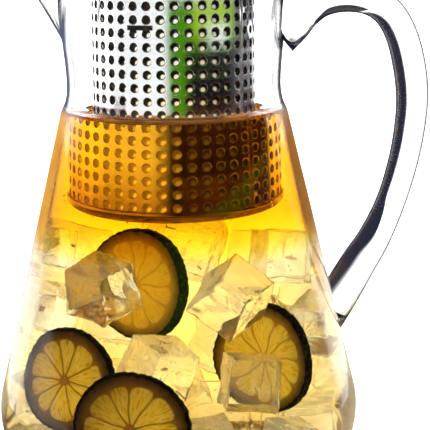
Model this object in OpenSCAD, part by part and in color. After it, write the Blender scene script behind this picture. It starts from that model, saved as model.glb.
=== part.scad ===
// Glass iced tea pitcher with a lift-out perforated infuser and a lift-off lid.
// Millimetres. The origin is the centre of the flat base, +Z is up,
// the spout points along -X and the handle along +X.

/* [Jug] */
// Height of the glass rim above the table
rim_z = 243; // [240:0.5:246]
// Largest radius of the belly
belly_r = 88; // [86:0.5:90]
// Height of the widest ring
belly_z = 34.8; // [33:0.1:37]
// Radius of the belly curve
belly_curve = 43; // [41:0.5:45]
// Slope of the straight conical wall from the vertical, degrees
cone_a = 13.4; // [13:0.1:13.8]
// Thickness of the body wall
wall = 3; // [2.6:0.1:3.4]
// Thickness of the neck wall
neck_wall = 2.9; // [2.6:0.1:3]
// Thickness of the base
floor_t = 8; // [6:0.5:10]
// Rounding of the outside edge of the base
base_round = 8; // [6:0.5:10]
// Rounding of the inside edge of the base
floor_round = 20; // [16:1:22]

/* [Spout] */
// Height at which the spout leaves the neck
spout_z = 214; // [210:1:218]
// Tilt of the spout's axis from the vertical, degrees
spout_tilt = 3; // [2:0.5:5]
// Half angle of the spout's cone, degrees
spout_half = 29; // [27:0.5:31]
// Thickness of the spout's wall
spout_wall = 2.6; // [2.2:0.1:3]

/* [Handle] */
// Width of the handle across, against its thickness in the loop's plane
handle_oval = 1.15; // [1:0.05:1.3]

/* [Tea] */
// Height of the tea's surface
tea_z = 178; // [170:1:180]
// Gap between the tea and the glass
tea_gap = 0.1; // [0.05:0.05:0.3]

/* [Infuser] */
// Outside radius of the perforated tube
tube_r = 39; // [38.5:0.1:39.2]
// Sheet thickness of the tube
tube_t = 0.8; // [0.6:0.1:1]
// Height of the underside of the infuser
tube_z0 = 131; // [130.8:0.1:134]
// Holes round the tube
hole_cols = 38; // [30:2:40]
// Rows of holes
hole_rows = 16; // [10:1:16]
// Height between rows of holes
hole_pitch = 6.25; // [6:0.05:6.3]
// Diameter of a hole
hole_d = 3.3; // [2.8:0.1:3.4]

/* [Lid] */
// Radius of the lid
lid_r = 44; // [42:0.5:46]
// Rise of the lid's dome
lid_rise = 5; // [4:0.5:6]
// Height of the knob
knob_h = 20; // [16:1:24]

/* [Hidden] */
$fn = 96;

// The belly is an arc about this centre, and the wall leaves it as a straight cone.
belly_c = [belly_r - belly_curve, belly_z];
// The neck: [outside radius, height]. It is waisted above the shoulder and barrelled below the rim.
NECK = [[54.6, 180], [52.5, 184.8], [51.5, 190], [51.4, 196], [51.9, 204],
        [52.8, 213], [53.1, 221], [53, 231], [53.3, 237], [53.9, rim_z - 1.5]];

// The handle's centre line in the XZ plane with its half thickness: [x, z, half].
HANDLE = [[49, 218, 13], [56, 223.5, 12], [63, 228.5, 10], [72, 232.5, 8.3], [83.5, 234, 7.9],
          [95, 231.8, 7.7], [103.5, 225.5, 7.6], [109.5, 215, 7.8], [113.5, 200, 8],
          [115, 184, 7.8], [113.5, 167, 7.5], [110, 150, 7.3], [104.5, 132.5, 7.3],
          [97, 116, 8], [89, 103, 8.8], [80.5, 88.5, 9.3], [73, 76, 9.3]];
handle_sides = 16;
handle_steps = 2;

// Ice: centre, rotation and edge of each cube.
ICE = [[-32, -37, 101, 6, -16, 40, 25], [23, -42, 97, 16, 32, -24, 26], [43, -13, 109, -10, 8, 24, 26],
       [57, -8, 74, 8, 6, -14, 25], [31, -52, 59, -6, 8, 12, 25], [12, -50, 27, 10, -10, 14, 25],
       [46, -41, 26, 6, 10, 42, 21], [-55, -12, 84, 12, 14, 20, 25], [-50, -1, 113, -8, 14, 16, 20],
       [-8, -42, 64, 18, 10, 34, 25], [-56, -10, 38, 6, -10, 20, 25], [2, 14, 110, 12, 20, 10, 26],
       [33, 18, 103, -8, 16, 40, 24], [-37, 32, 102, 10, -14, 52, 25], [2, 47, 104, 16, 10, 12, 26],
       [47, 30, 76, -6, 18, 50, 22], [-50, 33, 66, 8, 12, 34, 25], [-18, 54, 66, -10, 16, 20, 27],
       [21, 56, 58, 14, -10, 24, 26], [58, 22, 48, 8, 6, 22, 25], [19, 9, 59, 10, 24, 30, 24],
       [-19, 17, 66, 16, -8, 40, 24], [-24, 18, 34, 10, 14, 42, 27], [14, 20, 27, -12, 8, 20, 27],
       [38, 50, 25, 6, 10, 36, 23], [-6, 59, 30, 8, -12, 14, 26], [-46, 42, 28, -10, 8, 46, 25],
       [49, -6, 24, 4, 6, 10, 24]];

// Lime slices: centre, turn of the face to the left of the front, tilt up, radius.
LIME_LEFT = [-48, -43, 59, 28, 8, 24];
LIME_FRONT = [-21, -68, 43, 10, 6, 26];
LIME_BACK = [-14, -12, 97, 48, 6, 26];
LIME_RIGHT = [36, -26, 63, 34, 4, 26];
lime_t = 5;

// Levels of the pieces that hang in and lie on the rim.
collar_z = rim_z + 0.2;      // underside of the collar's flange
collar_t = 1;                // its sheet
lid_z = collar_z + collar_t + 0.3; // underside of the lid's edge
lid_t = 1.2;
lid_top = lid_z + lid_t + lid_rise;
lid_flat = 9;                // flat middle of the lid, under the knob
hole_a = -89;                // bearing of one column of holes
hole_z = tube_z0 + 7.4;      // height of the lowest row
slot_a = hole_a - 2.5 * 360 / hole_cols; // bearing of the first clip slot, between two columns
slot_z = hole_z + (hole_rows - 2.6) * hole_pitch; // and just above a row
well_r = tube_r + 1.4;       // room for the infuser in the tea
well_z = tube_z0 - 0.5;

function arc(c, r, a0, a1, n, skip = 0) =
    [for (i = [skip:n]) let (a = a0 + (a1 - a0) * i / n) [c[0] + r * cos(a), c[1] + r * sin(a)]];

// Centre of a rounding of radius f between a floor at height z and an arc of radius r about c.
function round_c(c, r, f, z) = [c[0] + sqrt(pow(r - f, 2) - pow(c[1] - z - f, 2)), z + f];
function bearing(a, b) = atan2(b[1] - a[1], b[0] - a[0]);

// One point of a smooth curve through the points p, between p[i] and p[i + 1].
function smooth_at(p, i, t) =
    let (a = p[max(i - 1, 0)], b = p[i], c = p[i + 1], d = p[min(i + 2, len(p) - 1)])
    0.5 * ((2 * b) + (c - a) * t + (2 * a - 5 * b + 4 * c - d) * t * t + (3 * b - a - 3 * c + d) * t * t * t);
function smooth(p, n) =
    concat([for (i = [0:len(p) - 2]) for (k = [0:n - 1]) smooth_at(p, i, k / n)], [p[len(p) - 1]]);

// Profile of the jug at a distance w inside its outer face, from the floor at z0 up to the rim.
function jug_side(w, nw, f, z0) =
    let (r = belly_curve - w, fc = round_c(belly_c, r, f, z0), ta = bearing(belly_c, fc))
    concat(arc(fc, f, -90, ta, 8), arc(belly_c, r, ta, cone_a, 16, 1),
           smooth([for (p = NECK) [p[0] - nw, p[1]]], 3));

outer_side = jug_side(0, 0, base_round, 0);
inner_side = jug_side(wall, neck_wall, floor_round, floor_t);
rim_c = [NECK[len(NECK) - 1][0] - neck_wall / 2, rim_z - 1.5];

module turned(p) { rotate_extrude() polygon(p); }

module jug_filled() {
    turned(concat([[0, 0]], outer_side, arc(rim_c, neck_wall / 2, 0, 90, 6, 1), [[0, rim_c[1] + neck_wall / 2]]));
}

module jug_hollow() {
    turned(concat([[0, floor_t]], inner_side, arc(rim_c, neck_wall / 2, 180, 90, 6, 1),
                  [[rim_c[0], rim_z + 5], [0, rim_z + 5]]));
}

// The spout is a cone that leans out of the neck. in moves it along its axis to make the inside.
module spout_cone(in, top) {
    intersection() {
        translate([-52, 0, spout_z]) rotate([0, -spout_tilt, 0]) translate([0, 0, in])
            cylinder(h = 48, r1 = 0, r2 = 48 * tan(spout_half));
        translate([-100, -50, spout_z - 10]) cube([100, 100, top - spout_z + 10]);
    }
}

module glass_jug() {
    color("LightCyan", 0.4) difference() {
        union() {
            jug_filled();
            spout_cone(0, rim_z - 0.5);
        }
        jug_hollow();
        spout_cone(spout_wall / sin(spout_half), rim_z + 4);
    }
}

// An oval rod swept along the handle's centre line in the XZ plane.
module handle_sweep() {
    path = smooth(HANDLE, handle_steps);
    n = len(path);
    s = handle_sides;
    rings = [for (i = [0:n - 1])
        let (p = path[i], a = path[max(i - 1, 0)], b = path[min(i + 1, n - 1)],
             d = [b[0] - a[0], b[1] - a[1]], l = norm(d), nx = -d[1] / l, nz = d[0] / l)
        for (k = [0:s - 1])
            let (c = p[2] * cos(360 * k / s), e = p[2] * handle_oval * sin(360 * k / s))
            [p[0] + nx * c, e, p[1] + nz * c]];
    polyhedron(rings, concat(
        [[for (k = [0:s - 1]) k]],
        [for (i = [0:n - 2]) for (k = [0:s - 1])
            [i * s + k, (i + 1) * s + k, (i + 1) * s + (k + 1) % s, i * s + (k + 1) % s]],
        [[for (k = [s - 1:-1:0]) (n - 1) * s + k]]));
}

module glass_handle() {
    color("LightCyan", 0.5) difference() {
        handle_sweep();
        jug_filled();
    }
}

module ice_cube(c) { translate([c[0], c[1], c[2]]) rotate([c[3], c[4], c[5]]) cube(c[6], center = true); }
module ice_all() { for (c = ICE) ice_cube(c); }

module lime(l) {
    translate([l[0], l[1], l[2]]) rotate([0, 0, -l[3]]) rotate([90 - l[4], 0, 0])
        cylinder(h = lime_t, r = l[5], center = true);
}

module iced_tea() {
    side = [for (p = jug_side(wall + tea_gap, neck_wall + tea_gap, floor_round, floor_t + tea_gap)) if (p[1] < tea_z) p];
    top_r = 54.6 - neck_wall - tea_gap + (180 - tea_z) * tan(cone_a);
    color("Goldenrod", 0.6) difference() {
        turned(concat([[0, floor_t + tea_gap]], side, [[top_r, tea_z], [0, tea_z]]));
        translate([0, 0, well_z]) cylinder(h = 100, r = well_r);
        ice_all();
        lime(LIME_LEFT);
        lime(LIME_FRONT);
        lime(LIME_BACK);
        lime(LIME_RIGHT);
    }
}

module ice_cubes() { color("AliceBlue", 0.6) ice_all(); }
module lime_slice_left() { color("OliveDrab") lime(LIME_LEFT); }
module lime_slice_front() { color("OliveDrab") lime(LIME_FRONT); }
module lime_slice_back() { color("OliveDrab") lime(LIME_BACK); }
module lime_slice_right() { color("OliveDrab") lime(LIME_RIGHT); }

// A radial cutter for one hole in the tube.
module tube_hole(a, z) {
    rotate([0, 0, a]) translate([tube_r - 3, 0, z]) rotate([0, 90, 0]) cylinder(h = 6, d = hole_d, $fn = 24);
}

module clip_slot(a, grow) {
    rotate([0, 0, a - 9 - grow / 2]) translate([0, 0, slot_z - 1 - grow / 2])
        rotate_extrude(angle = 18 + grow) translate([tube_r - 2.5, 0]) square([4, 2 + grow]);
}

module infuser_tube() {
    color("Silver") difference() {
        translate([0, 0, tube_z0 + 3.6]) rotate_extrude()
            translate([tube_r - tube_t, 0]) square([tube_t, collar_z - tube_z0 - 3.6]);
        for (i = [0:hole_rows - 1]) for (k = [0:hole_cols - 1])
            tube_hole(hole_a + 360 * k / hole_cols, hole_z + i * hole_pitch);
        for (a = [slot_a, slot_a + 180]) clip_slot(a, 0.4);
    }
}

// A shallow pressed cup that closes the tube, with holes in rings.
module infuser_base() {
    r = tube_r + 0.9;
    color("DarkGray") difference() {
        rotate_extrude() polygon(concat(
            [[0, tube_z0]], arc([r - 4, tube_z0 + 4], 4, -90, 0, 6), [[r, tube_z0 + 5.4], [r - 0.8, tube_z0 + 5.4]],
            arc([r - 4, tube_z0 + 4], 3.2, 0, -90, 6), [[0, tube_z0 + 0.8]]));
        for (k = [1:5]) for (i = [0:6 * k - 1])
            rotate([0, 0, 60 * i / k]) translate([6.7 * k, 0, tube_z0 - 2]) cylinder(h = 6, d = hole_d, $fn = 24);
        translate([0, 0, tube_z0 - 2]) cylinder(h = 6, d = hole_d, $fn = 24);
    }
}

// The ring that hangs the infuser on the rim: a flat flange with a rolled edge and a short skirt in the mouth.
module infuser_collar() {
    color("Gainsboro") rotate_extrude() union() {
        translate([tube_r - 1.5, collar_z]) square([16, collar_t]);
        translate([54, collar_z + 0.9]) circle(0.9, $fn = 32);
        translate([46.4, collar_z - 6]) square([0.9, 6.5]);
    }
}

// Two bent tabs under the collar that hook out through the slots of the tube.
module collar_clips() {
    color("Silver") for (a = [slot_a, slot_a + 180]) union() {
        rotate([0, 0, a - 10]) translate([0, 0, slot_z - 1.6])
            rotate_extrude(angle = 20) translate([tube_r - tube_t - 1, 0]) square([0.8, collar_z - slot_z + 1.6]);
        rotate([0, 0, a - 8.5]) translate([0, 0, slot_z + 0.3])
            rotate_extrude(angle = 17) translate([tube_r - tube_t - 1, 0]) square([2, 0.7]);
    }
}

// Fine strainer inside the tube, which keeps the leaves from its holes.
module strainer_sleeve() {
    color("DarkKhaki") translate([0, 0, tube_z0 + 1]) rotate_extrude()
        translate([tube_r - tube_t - 2, 0]) square([0.4, rim_z - tube_z0 - 6]);
}

// Silicone ring round the collar's skirt, with two lips that grip the mouth.
module collar_gasket() {
    color("WhiteSmoke") translate([0, 0, collar_z - 6.2]) rotate_extrude() union() {
        translate([47.3, 0.2]) square([1.6, 5.8]);
        translate([48.8, 1.6]) circle(0.8, $fn = 24);
        translate([48.8, 4.2]) circle(0.8, $fn = 24);
    }
}

// Height of the lid's outer face at a radius.
function dome(r) = lid_top - lid_rise * pow(max(r - lid_flat, 0) / (lid_r - lid_flat), 2);

module lid_cap() {
    rs = [for (i = [0:14]) lid_flat + (lid_r - 1 - lid_flat) * i / 14];
    color("Gainsboro") difference() {
        union() {
            turned(concat([[0, lid_top]], [for (r = rs) [r, dome(r)]],
                          [[lid_r, lid_z + 0.5], [lid_r - 0.6, lid_z], [lid_r - 2.4, lid_z]],
                          [for (i = [14:-1:0]) [rs[i] - 1.2, dome(rs[i]) - lid_t]], [[0, lid_top - lid_t]]));
            rotate_extrude() translate([34.2, lid_z - 5]) square([1, dome(34.7) - lid_t / 2 - lid_z + 5]);
        }
        translate([0, 0, lid_top - 4]) cylinder(h = 8, r = 2.6, $fn = 32);
    }
}

// Silicone ring round the lid's skirt.
module lid_gasket() {
    color("WhiteSmoke") translate([0, 0, lid_z - 5]) rotate_extrude() union() {
        translate([35.2, 0.1]) square([1.1, 4.6]);
        translate([36.2, 2.4]) circle(0.7, $fn = 24);
    }
}

module knob_washer() {
    color("WhiteSmoke") translate([0, 0, lid_top]) difference() {
        cylinder(h = 1, r = 8);
        translate([0, 0, -1]) cylinder(h = 3, r = 2.6, $fn = 32);
    }
}

// Turned knob: a waist under a rounded head, bored for its screw.
module lid_knob() {
    waist = smooth([[8, 0], [6.6, 2.5], [6.2, knob_h * 0.3], [7.6, knob_h * 0.55], [11.5, knob_h * 0.75],
                    [13, knob_h * 0.86], [12.2, knob_h * 0.95], [9.5, knob_h]], 4);
    color("Gainsboro") translate([0, 0, lid_top + 1]) difference() {
        turned(concat([[0, 0]], waist, [[0, knob_h]]));
        translate([0, 0, -1]) cylinder(h = 11.5, r = 2.6, $fn = 32);
    }
}

module knob_screw() {
    color("Silver") difference() {
        union() {
            translate([0, 0, lid_top - lid_t - 2.6]) cylinder(h = 2.6, r = 4.5, $fn = 48);
            translate([0, 0, lid_top - lid_t - 1]) cylinder(h = 12, r = 2.5, $fn = 32);
        }
        translate([-5, -0.6, lid_top - lid_t - 3.6]) cube([10, 1.2, 2.2]);
    }
}

glass_jug();
glass_handle();
iced_tea();
ice_cubes();
lime_slice_left();
lime_slice_front();
lime_slice_back();
lime_slice_right();
infuser_tube();
infuser_base();
infuser_collar();
collar_clips();
strainer_sleeve();
collar_gasket();
lid_cap();
lid_gasket();
knob_washer();
lid_knob();
knob_screw();
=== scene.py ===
import math

import bpy
import numpy as np
from mathutils import Matrix, Vector, noise


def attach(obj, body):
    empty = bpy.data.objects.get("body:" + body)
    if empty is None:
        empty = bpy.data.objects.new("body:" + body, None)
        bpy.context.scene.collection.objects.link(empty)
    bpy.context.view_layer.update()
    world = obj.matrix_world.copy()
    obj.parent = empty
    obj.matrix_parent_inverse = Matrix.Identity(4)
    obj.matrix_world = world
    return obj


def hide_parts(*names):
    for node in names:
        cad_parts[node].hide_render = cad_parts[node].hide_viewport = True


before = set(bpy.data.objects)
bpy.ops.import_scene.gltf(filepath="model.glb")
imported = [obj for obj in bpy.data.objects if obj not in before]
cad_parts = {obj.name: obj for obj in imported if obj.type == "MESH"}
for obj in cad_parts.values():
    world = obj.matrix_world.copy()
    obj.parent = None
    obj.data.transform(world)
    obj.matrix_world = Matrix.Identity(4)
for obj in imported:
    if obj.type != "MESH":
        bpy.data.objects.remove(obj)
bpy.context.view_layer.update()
rng = np.random.default_rng(11)
MM = 0.001
TAU = 2 * math.pi
scene = bpy.context.scene


# ---------------------------------------------------------------- mesh helpers
def obj_from(name, verts, faces, material, smooth=True):
    me = bpy.data.meshes.new(name)
    me.from_pydata((np.asarray(verts, float) * MM).tolist(), [], [list(map(int, f)) for f in faces])
    if smooth:
        me.shade_smooth()
    if material is not None:
        me.materials.append(material)
    ob = bpy.data.objects.new(name, me)
    scene.collection.objects.link(ob)
    return ob


def piece(ob, body, slot, *nodes):
    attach(ob, body)
    if nodes:
        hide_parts(*nodes)
    return ob


def drop(ob):
    bpy.data.objects.remove(ob)


def lathe(profile, n=128, loop=False, shape=None):
    """Turns (r, z) points, solid on their left, about the z axis. shape(r, z, angle) may move the rings."""
    th = np.arange(n) / n * TAU
    verts, rings = [], []
    for r, z in profile:
        if r < 1e-6:
            rings.append([len(verts)])
            verts.append((0.0, 0.0, z))
            continue
        rr = np.full(n, float(r))
        zz = np.full(n, float(z))
        if shape is not None:
            rr, zz = shape(rr, zz, th)
        rings.append(list(range(len(verts), len(verts) + n)))
        verts.extend(np.stack([rr * np.cos(th), rr * np.sin(th), zz], 1).tolist())
    faces = []
    pairs = list(zip(rings, rings[1:])) + ([(rings[-1], rings[0])] if loop else [])
    for a, b in pairs:
        for k in range(n):
            j = (k + 1) % n
            if len(a) == 1 and len(b) == 1:
                continue
            if len(a) == 1:
                faces.append((a[0], b[j], b[k]))
            elif len(b) == 1:
                faces.append((a[k], a[j], b[0]))
            else:
                faces.append((a[k], a[j], b[j], b[k]))
    return np.array(verts), faces


def arc(c, r, a0, a1, n):
    a = np.radians(np.linspace(a0, a1, n))
    return [(c[0] + r * math.cos(t), c[1] + r * math.sin(t)) for t in a]


def spline(points, n):
    """A smooth curve through the points, n steps between each pair."""
    p = np.array(points, float)
    out = []
    for i in range(len(p) - 1):
        a, b, c, d = p[max(i - 1, 0)], p[i], p[i + 1], p[min(i + 2, len(p) - 1)]
        for k in range(n):
            t = k / n
            out.append(0.5 * (2 * b + (c - a) * t + (2 * a - 5 * b + 4 * c - d) * t * t + (3 * b - a - 3 * c + d) * t**3))
    out.append(p[-1])
    return np.array(out)


def rounded(points, radius, n=4, loop=True):
    """The polygon with each corner rounded, radius one number or one for each corner."""
    p = [np.array(q, float) for q in points]
    m = len(p)
    rad = [radius] * m if np.isscalar(radius) else radius
    out = []
    for i in range(m):
        if not loop and i in (0, m - 1):
            out.append(p[i])
            continue
        a, b, c = p[i - 1], p[i], p[(i + 1) % m]
        u, v = a - b, c - b
        lu, lv = np.linalg.norm(u), np.linalg.norm(v)
        r = min(rad[i], 0.45 * lu, 0.45 * lv)
        if r < 1e-4:
            out.append(b)
            continue
        s, e = b + u / lu * r, b + v / lv * r
        for k in range(n + 1):
            t = k / n
            out.append((1 - t) ** 2 * s + 2 * t * (1 - t) * b + t * t * e)
    return [tuple(q) for q in out]


def wobble(points, scale, amount, seed):
    """A smooth random number at each point."""
    off = Vector((seed * 3.7, seed * 1.3, seed * 7.1))
    return np.array([noise.noise(Vector(p) / scale + off) for p in points]) * amount


def boolean(target, other, operation):
    mod = target.modifiers.new("cut", "BOOLEAN")
    mod.operation = operation
    mod.solver = "EXACT"
    mod.object = other
    dg = bpy.context.evaluated_depsgraph_get()
    me = bpy.data.meshes.new_from_object(target.evaluated_get(dg))
    old = target.data
    target.modifiers.clear()
    target.data = me
    bpy.data.meshes.remove(old)
    drop(other)


# ---------------------------------------------------------------- materials
def new_material(name):
    m = bpy.data.materials.new(name)
    m.use_nodes = True
    m.node_tree.nodes.clear()
    return m, m.node_tree


def add(nt, kind, inputs=None, **props):
    nd = nt.nodes.new(kind)
    for k, v in props.items():
        setattr(nd, k, v)
    for k, v in (inputs or {}).items():
        if isinstance(v, bpy.types.NodeSocket):
            nt.links.new(v, nd.inputs[k])
        else:
            nd.inputs[k].default_value = v
    return nd


def ramp(nt, fac, stops, mode="LINEAR"):
    nd = nt.nodes.new("ShaderNodeValToRGB")
    nd.color_ramp.interpolation = mode
    el = nd.color_ramp.elements
    while len(el) < len(stops):
        el.new(0.5)
    for e, (p, c) in zip(el, stops):
        e.position = p
        e.color = (*c, 1.0) if len(c) == 3 else c
    nt.links.new(fac, nd.inputs["Fac"])
    return nd.outputs["Color"]


def noise_tex(nt, scale, detail=3.0, rough=0.5, vector=None, distortion=0.0):
    if vector is None:
        vector = add(nt, "ShaderNodeTexCoord").outputs["Object"]
    return add(nt, "ShaderNodeTexNoise", {"Vector": vector, "Scale": scale, "Detail": detail, "Roughness": rough, "Distortion": distortion}).outputs["Fac"]


def surface(nt, socket, volume=None):
    out = nt.nodes.new("ShaderNodeOutputMaterial")
    nt.links.new(socket, out.inputs["Surface"])
    if volume is not None:
        nt.links.new(volume, out.inputs["Volume"])


def grey(v):
    return (v, v, v, 1.0)


def glass_material():
    """Clear glass with painted shade at its grazing edges and round the handle's roots, a dark colour standing in for
    the dark rims that thick glass shows in front of a bright background, and painted amber light at the grazing edges
    where tea stands behind them.
    """
    m, nt = new_material("clear_glass")
    tint = ramp(nt, noise_tex(nt, 30, 2), [(0.3, (0.972, 0.982, 0.984)), (0.7, (0.99, 0.996, 0.998))])
    # Painted shade: ramps of the facing angle for the wall, the neck, the lip and the handle's rod say where the dark
    # edge colour is mixed in.
    facing = add(nt, "ShaderNodeLayerWeight", {"Blend": 0.5}).outputs["Facing"]
    wall = ramp(nt, facing, [(0.78, grey(0.0)), (0.9, grey(0.35)), (1.0, grey(0.8))])
    bar = ramp(nt, facing, [(0.36, grey(0.0)), (0.52, grey(0.25)), (0.66, grey(0.85)), (0.8, grey(0.97))])
    rod = add(nt, "ShaderNodeAttribute", attribute_name="rod").outputs["Fac"]
    height = add(nt, "ShaderNodeSeparateXYZ", {0: add(nt, "ShaderNodeTexCoord").outputs["Object"]}).outputs[2]
    neck = ramp(nt, facing, [(0.66, grey(0.0)), (0.72, grey(0.4)), (0.79, grey(0.95)), (1.0, grey(0.98))])
    upper = add(nt, "ShaderNodeMapRange", {0: height, 1: 0.176, 2: 0.184, 3: 0.0, 4: 1.0}).outputs[0]
    mix = lambda f, a, b: add(nt, "ShaderNodeMix", {0: f, 6: a, 7: b}, data_type="RGBA").outputs[2]
    lip = ramp(nt, facing, [(0.42, grey(0.0)), (0.58, grey(0.5)), (0.68, grey(0.93)), (1.0, grey(0.98))])
    place = add(nt, "ShaderNodeSeparateXYZ", {0: add(nt, "ShaderNodeTexCoord").outputs["Object"]})
    pulled = add(nt, "ShaderNodeMath", {0: add(nt, "ShaderNodeMapRange", {0: place.outputs[0], 1: -0.047, 2: -0.054, 3: 0.0, 4: 1.0}).outputs[0],
                                        1: add(nt, "ShaderNodeMapRange", {0: place.outputs[2], 1: 0.21, 2: 0.216, 3: 0.0, 4: 1.0}).outputs[0]}, operation="MULTIPLY").outputs[0]
    edge = mix(rod, mix(upper, wall, mix(pulled, neck, lip)), bar)
    # More painted shade, in streaks, round the handle's roots.
    root_painted_shade = add(nt, "ShaderNodeAttribute", attribute_name="root_painted_shade").outputs["Fac"]
    streaks = ramp(nt, noise_tex(nt, 160, 3, 0.6, distortion=1.0), [(0.42, grey(0.1)), (0.56, grey(1.0))])
    root_painted_shade = add(nt, "ShaderNodeMath", {0: root_painted_shade, 1: streaks}, operation="MULTIPLY").outputs[0]
    edge = add(nt, "ShaderNodeMath", {0: edge, 1: root_painted_shade}, operation="MAXIMUM").outputs[0]
    # The painted edge shade is weaker towards the bottom.
    thin = add(nt, "ShaderNodeMapRange", {0: height, 1: 0.03, 2: 0.11, 3: 0.4, 4: 1.0}).outputs[0]
    edge = add(nt, "ShaderNodeMath", {0: edge, 1: thin}, operation="MULTIPLY").outputs[0]
    # The painted edge shade's colour, a near black blue.
    painted_edge_shade = ramp(nt, noise_tex(nt, 50, 2), [(0.3, (0.012, 0.014, 0.032)), (0.7, (0.024, 0.028, 0.06))])
    b = add(nt, "ShaderNodeBsdfPrincipled", {"Base Color": tint, "Roughness": 0.0, "IOR": 1.5, "Transmission Weight": 1.0})
    d = add(nt, "ShaderNodeBsdfDiffuse", {"Color": painted_edge_shade})
    body = add(nt, "ShaderNodeMixShader", {0: edge, 1: b.outputs[0], 2: d.outputs[0]}).outputs[0]
    # Painted light: an amber colour, diffuse and translucent, mixed in at grazing edges between the tea's lower and
    # upper heights, but not on the rod, standing in for tea seen through the edge.
    painted_amber = ramp(nt, noise_tex(nt, 40, 2), [(0.3, (0.62, 0.33, 0.035)), (0.7, (0.78, 0.45, 0.06))])
    painted_glow = [add(nt, k, {"Color": painted_amber}).outputs[0] for k in ("ShaderNodeBsdfDiffuse", "ShaderNodeBsdfTranslucent")]
    painted_glow = add(nt, "ShaderNodeMixShader", {0: 0.6, 1: painted_glow[0], 2: painted_glow[1]}).outputs[0]
    line = ramp(nt, facing, [(0.58, grey(0.0)), (0.7, grey(0.72)), (1.0, grey(0.85))])
    full = add(nt, "ShaderNodeMapRange", {0: height, 1: 0.106, 2: 0.124, 3: 0.0, 4: 1.0}).outputs[0]
    over = add(nt, "ShaderNodeMapRange", {0: height, 1: 0.1835, 2: 0.179, 3: 0.0, 4: 1.0}).outputs[0]
    bare = add(nt, "ShaderNodeMath", {0: 1.0, 1: rod}, operation="SUBTRACT").outputs[0]
    for k in (full, over, bare):
        line = add(nt, "ShaderNodeMath", {0: line, 1: k}, operation="MULTIPLY").outputs[0]
    surface(nt, add(nt, "ShaderNodeMixShader", {0: line, 1: body, 2: painted_glow}).outputs[0])
    return m


def tea_material():
    m, nt = new_material("golden_tea")
    tint = ramp(nt, noise_tex(nt, 25, 2), [(0.3, (0.99, 0.985, 0.97)), (0.7, (1.0, 0.998, 0.99))])
    b = add(nt, "ShaderNodeBsdfPrincipled", {"Base Color": tint, "Roughness": 0.0, "IOR": 1.333, "Transmission Weight": 1.0})
    v = add(nt, "ShaderNodeVolumeAbsorption", {"Color": (0.958, 0.745, 0.0, 1.0), "Density": 14.0})
    surface(nt, b.outputs[0], v.outputs[0])
    return m


def strong_tea_material():
    """The stronger tea that lies above what the ice has thinned: colour only, no surface of its own."""
    m, nt = new_material("strong_tea")
    v = add(nt, "ShaderNodeVolumeAbsorption", {"Color": (0.98, 0.875, 0.0, 1.0), "Density": 56.0})
    nt.links.new(v.outputs[0], nt.nodes.new("ShaderNodeOutputMaterial").inputs["Volume"])
    return m


def tea_rim_painted_light_material():
    """The rim of the tea's surface in front, painted with brown and orange rings that stand in for the light and shade
    the climbing edge shows.
    """
    m, nt = new_material("tea_rim_painted_light")
    co = add(nt, "ShaderNodeTexCoord").outputs["Object"]
    b = add(nt, "ShaderNodeBsdfPrincipled", {"Base Color": (0.99, 0.97, 0.93, 1.0), "Roughness": 0.0, "IOR": 1.333, "Transmission Weight": 1.0})
    flat = add(nt, "ShaderNodeVectorMath", {0: co, 1: (1.0, 1.0, 0.0)}, operation="MULTIPLY").outputs[0]
    reach = add(nt, "ShaderNodeVectorMath", {0: flat}, operation="LENGTH").outputs["Value"]
    t = add(nt, "ShaderNodeMapRange", {0: reach, 1: 0.039, 2: 0.0525, 3: 0.0, 4: 1.0}).outputs[0]
    jitter = add(nt, "ShaderNodeMath", {0: noise_tex(nt, 35, 2, vector=co), 1: 0.3}, operation="MULTIPLY").outputs[0]
    t = add(nt, "ShaderNodeMath", {0: add(nt, "ShaderNodeMath", {0: t, 1: jitter}, operation="ADD").outputs[0], 1: 0.15}, operation="SUBTRACT").outputs[0]
    # Painted light and shade: brown and orange rings by distance from the axis.
    rings = ramp(nt, t, [(0.0, (0.1, 0.035, 0.006)), (0.18, (0.8, 0.42, 0.06)), (0.42, (0.5, 0.2, 0.02)), (0.55, (0.95, 0.6, 0.12)), (0.75, (0.28, 0.1, 0.012)), (0.9, (0.9, 0.5, 0.06)), (1.0, (0.3, 0.11, 0.012))])
    d = add(nt, "ShaderNodeBsdfDiffuse", {"Color": rings})
    tr = add(nt, "ShaderNodeBsdfTranslucent", {"Color": rings})
    body = add(nt, "ShaderNodeMixShader", {0: 0.5, 1: d.outputs[0], 2: tr.outputs[0]})
    depth = add(nt, "ShaderNodeSeparateXYZ", {0: co}).outputs[1]
    # The painted rings show only on the front part of the rim.
    front = add(nt, "ShaderNodeMapRange", {0: depth, 1: -0.03, 2: -0.043, 3: 0.0, 4: 0.85}).outputs[0]
    mx = add(nt, "ShaderNodeMixShader", {0: front, 1: b.outputs[0], 2: body.outputs[0]})
    v = add(nt, "ShaderNodeVolumeAbsorption", {"Color": (0.958, 0.745, 0.0, 1.0), "Density": 14.0})
    surface(nt, mx.outputs[0], v.outputs[0])
    return m


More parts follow.
